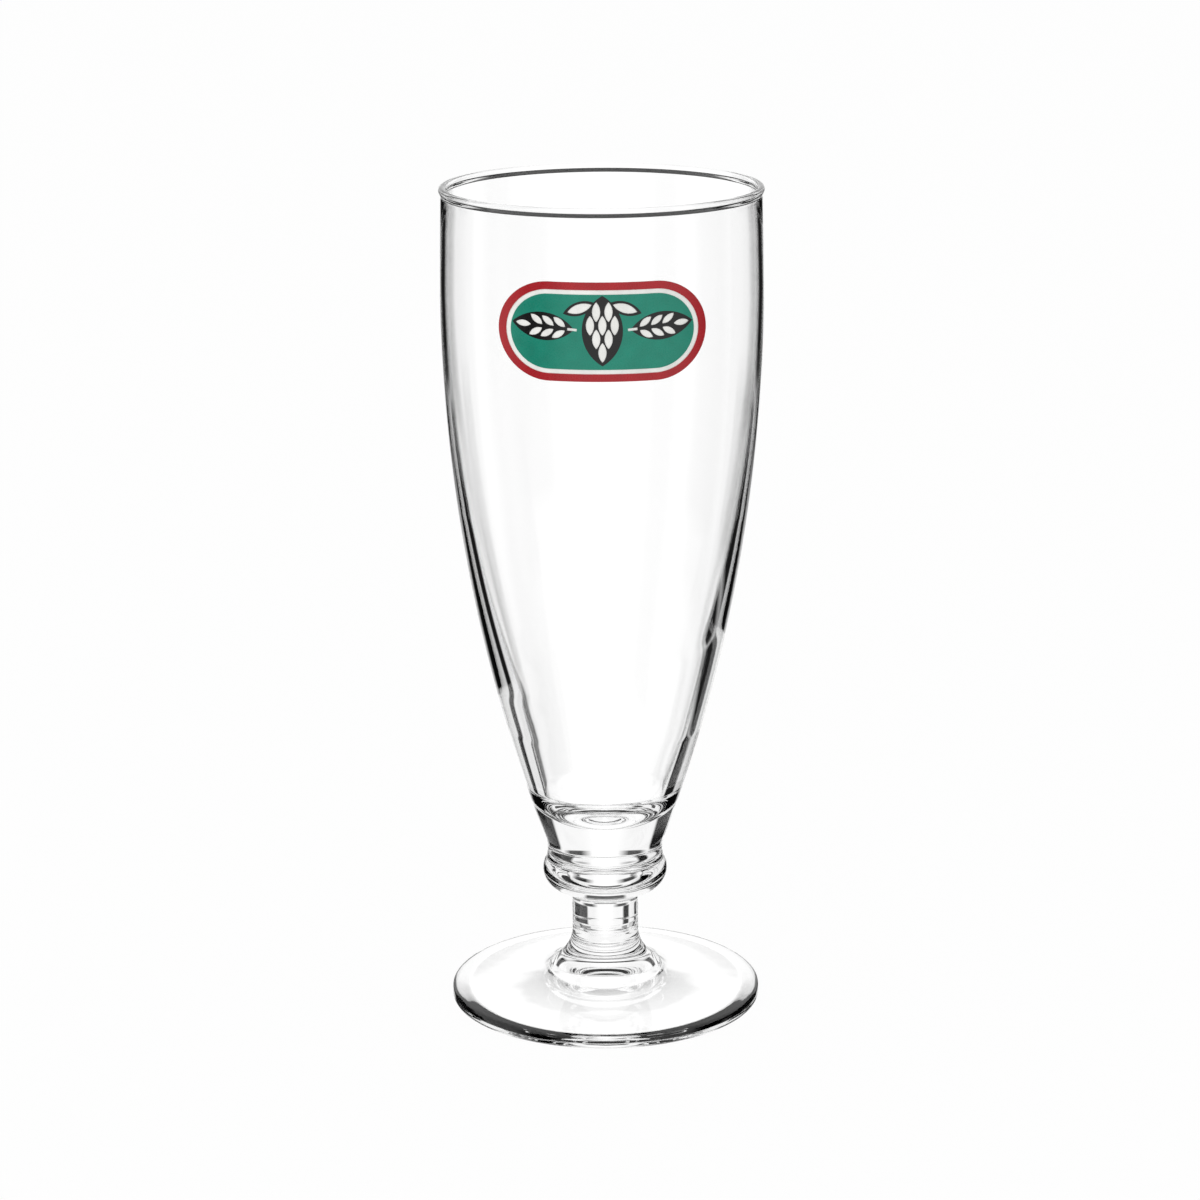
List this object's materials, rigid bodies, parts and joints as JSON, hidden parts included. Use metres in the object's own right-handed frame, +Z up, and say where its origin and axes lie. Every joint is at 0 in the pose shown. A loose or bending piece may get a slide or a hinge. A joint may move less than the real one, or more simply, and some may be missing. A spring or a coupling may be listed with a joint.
{
  "type": "footed pilsner glass",
  "caption": "Tall clear pilsner glass: a slim bowl narrowing to a ball knop, a short neck and a round foot, with a fired label print of a hop cone between ears of barley.",
  "frame": {"origin": "middle of the plane that the foot stands on", "axes": "+Z up along the axis of the glass, -Y out of the middle of the printed label, +X to the right of someone who reads the label"},
  "size_m": [0.074, 0.0742, 0.195],
  "materials": {
    "clear_glass": "clear soda-lime glass, fire polished",
    "ink_white": "fired glass enamel, slight gloss",
    "ink_red": "fired glass enamel, slight gloss",
    "ink_green": "fired glass enamel, slight gloss",
    "ink_black": "fired glass enamel, slight gloss"
  },
  "bodies": {
    "root": {"bowl": "clear_glass", "stem": "clear_glass", "foot": "clear_glass", "print_white": "ink_white", "print_red": "ink_red", "print_green": "ink_green", "print_black": "ink_black"}
  },
  "joints": []
}
